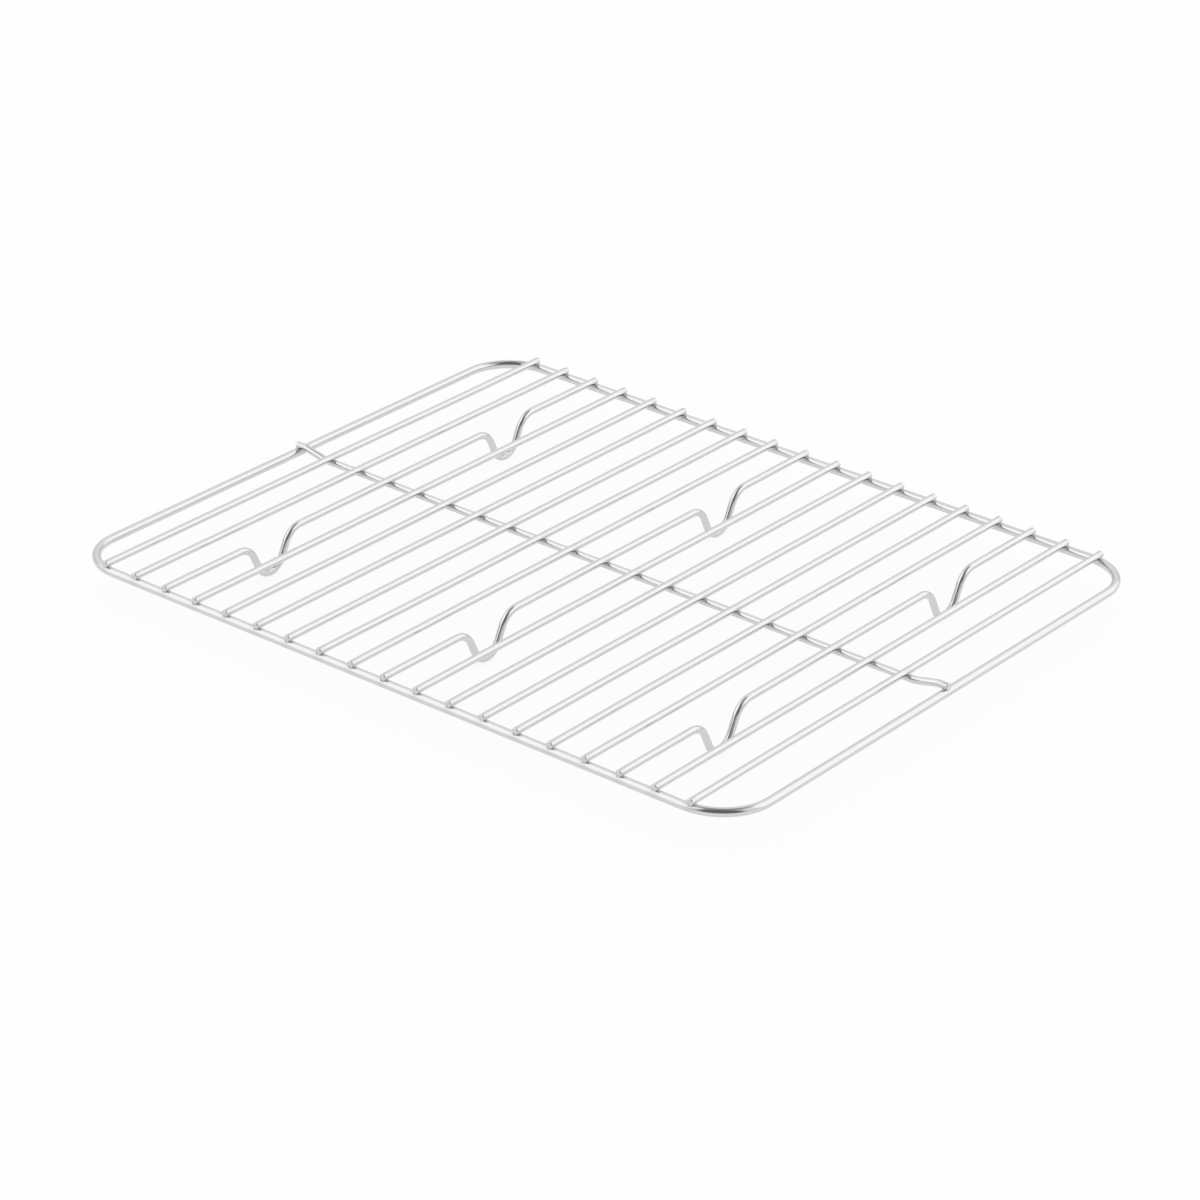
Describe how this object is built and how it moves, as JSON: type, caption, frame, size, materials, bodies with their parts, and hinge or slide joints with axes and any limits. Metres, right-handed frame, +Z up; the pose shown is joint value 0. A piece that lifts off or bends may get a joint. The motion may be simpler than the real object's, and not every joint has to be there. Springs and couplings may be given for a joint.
{
  "type": "food pan wire grate",
  "caption": "Footed wire grate that lifts food off the bottom of a food pan: a rounded rectangular wire frame with parallel grate wires and a middle brace, welded and chrome plated.",
  "frame": {"origin": "under the middle of the grate, on the plane that its feet stand on", "axes": "+X along the frame's long side, +Y along the grate wires, +Z up from the feet to the food"},
  "size_m": [0.254, 0.205, 0.0138],
  "materials": {
    "chrome_wire": "bright chrome plating over drawn steel wire, slightly soft at the bends and welds"
  },
  "bodies": {
    "root": {"frame_ring": "chrome_wire", "brace_wire": "chrome_wire", "grate_wire_01": "chrome_wire", "grate_wire_02": "chrome_wire", "footed_wire_03": "chrome_wire", "grate_wire_04": "chrome_wire", "grate_wire_05": "chrome_wire", "grate_wire_06": "chrome_wire", "grate_wire_07": "chrome_wire", "grate_wire_08": "chrome_wire", "grate_wire_09": "chrome_wire", "footed_wire_10": "chrome_wire", "grate_wire_11": "chrome_wire", "grate_wire_12": "chrome_wire", "grate_wire_13": "chrome_wire", "grate_wire_14": "chrome_wire", "grate_wire_15": "chrome_wire", "grate_wire_16": "chrome_wire", "footed_wire_17": "chrome_wire", "grate_wire_18": "chrome_wire", "grate_wire_19": "chrome_wire"}
  },
  "joints": []
}
